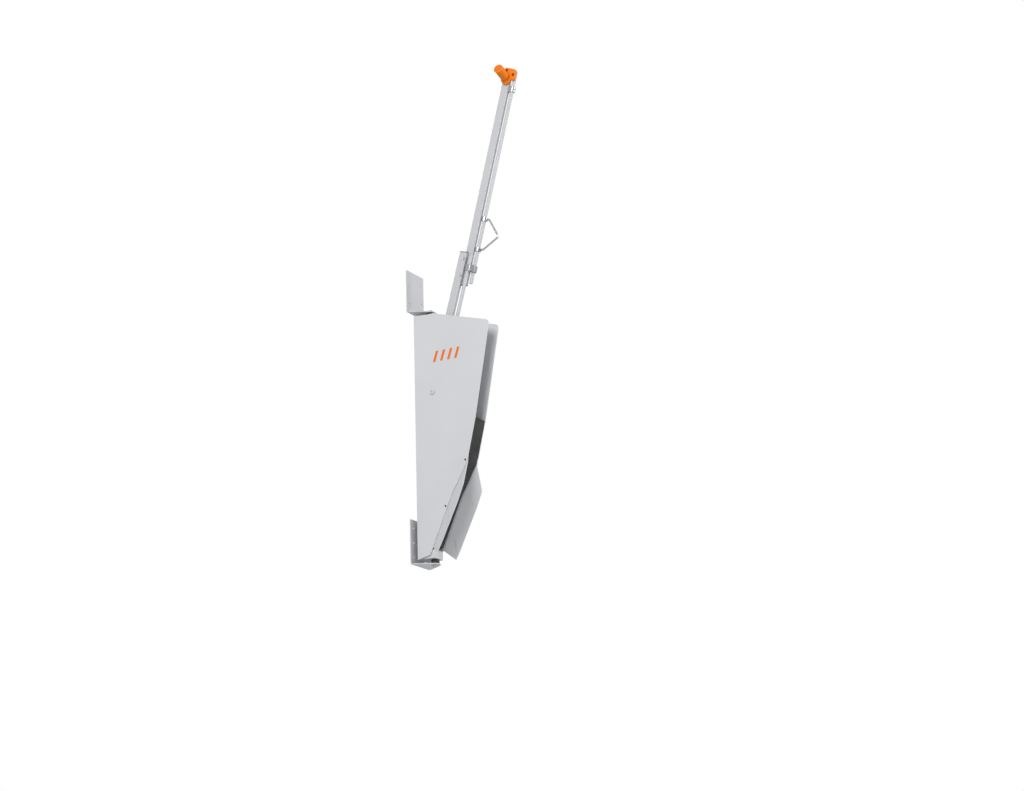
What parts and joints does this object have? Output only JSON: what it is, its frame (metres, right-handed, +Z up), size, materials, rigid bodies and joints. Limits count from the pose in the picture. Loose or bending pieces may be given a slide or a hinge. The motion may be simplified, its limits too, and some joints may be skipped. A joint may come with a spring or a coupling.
{
  "type": "bicycle wall rack",
  "caption": "Wall-mounted bicycle lift: slim swivelling housing with flared wheel guides and a long spring-assisted arm whose hook carries the front wheel.",
  "frame": {"origin": "centre of the upper wall bracket's back face, on the wall", "axes": "+X out of the wall, +Y along the wall to the right side of the housing, +Z up along the housing"},
  "size_m": [0.3761, 0.121, 1.4864],
  "materials": {
    "painted_sheet": "satin light grey powder coat",
    "painted_arm": "satin light grey powder coat",
    "bracket_steel": "satin grey",
    "orange_plastic": "satin orange",
    "black_rubber": "matt black",
    "black_plastic": "matt black",
    "spring_body": "satin black",
    "bright_steel": "bright zinc",
    "black_steel": "black oxide",
    "plain_steel": "machined",
    "chromed_rod": "polished"
  },
  "bodies": {
    "wall_mount": {"upper_bracket": "bracket_steel", "lower_bracket": "bracket_steel", "swivel_bolt_upper": "bright_steel", "swivel_bolt_lower": "bright_steel", "swivel_collar_upper": "bright_steel", "swivel_collar_lower": "bright_steel", "swivel_washer_upper": "black_plastic", "swivel_washer_lower": "black_plastic"},
    "housing": {"left_cover": "painted_sheet", "right_cover": "painted_sheet", "back_plate": "painted_sheet", "top_block": "painted_sheet", "bottom_block": "painted_sheet", "front_web": "plain_steel", "front_pad": "black_rubber", "wheel_pad": "black_rubber", "left_wheel_guide": "painted_sheet", "right_wheel_guide": "painted_sheet", "left_guide_screw_upper": "black_steel", "left_guide_screw_lower": "black_steel", "right_guide_screw_upper": "black_steel", "right_guide_screw_lower": "black_steel", "up_stop": "black_rubber", "down_stop": "black_rubber", "pivot_bolt": "bright_steel", "pivot_nut": "bright_steel", "left_rear_rail": "black_plastic", "left_front_rail": "black_plastic", "right_rear_rail": "black_plastic", "right_front_rail": "black_plastic", "gas_cylinder": "spring_body", "spring_base": "plain_steel"},
    "arm": {"arm_hub": "plain_steel", "left_pivot_bush": "black_plastic", "right_pivot_bush": "black_plastic", "lift_cam": "plain_steel", "lower_arm_bar": "painted_arm", "upper_arm_bar": "painted_arm", "splice_bolt_lower": "bright_steel", "splice_bolt_upper": "bright_steel", "splice_nut_lower": "bright_steel", "splice_nut_upper": "bright_steel", "lower_brace_rod": "painted_arm", "upper_brace_rod": "painted_arm", "rod_coupler": "plain_steel", "brace_clamp_lower": "plain_steel", "brace_clamp_upper": "plain_steel", "hook_head": "orange_plastic", "roller_screw": "orange_plastic", "pull_handle": "bright_steel", "handle_collar_lower": "bright_steel", "handle_collar_upper": "bright_steel"},
    "hook_roller": {"hook_roller": "orange_plastic"},
    "carriage": {"cam_carriage": "plain_steel", "roller_pin": "plain_steel", "gas_rod": "chromed_rod"},
    "cam_roller": {"cam_roller": "plain_steel"}
  },
  "joints": [
    {"name": "rack_swivel", "type": "hinge", "parent": "wall_mount", "child": "housing", "pos_m": [0.055, 0, 0], "axis": [0, 0, 1], "range_deg": [-45, 45]},
    {"name": "arm_swing", "type": "hinge", "parent": "housing", "child": "arm", "pos_m": [0.0735, 0, -0.3205], "axis": [0, 1, 0], "range_deg": [0, 95], "stiffness_Nm_per_rad": 8, "springref_deg": -171.89},
    {"name": "carriage_slide", "type": "slide", "parent": "housing", "child": "carriage", "axis": [0, 0, -1], "range_m": [0, 0.0505]},
    {"name": "cam_roller_spin", "type": "hinge", "parent": "carriage", "child": "cam_roller", "pos_m": [0.0735, 0, -0.3755], "axis": [0, 1, 0], "continuous": true},
    {"name": "hook_roller_spin", "type": "hinge", "parent": "arm", "child": "hook_roller", "pos_m": [0.33907, -0.0138, 0.61967], "axis": [0.0592, -0.9744, 0.217], "continuous": true}
  ],
  "couplings": [
    {"joint": "carriage_slide", "follows": "arm_swing", "m_per_rad": 0.030156}
  ]
}
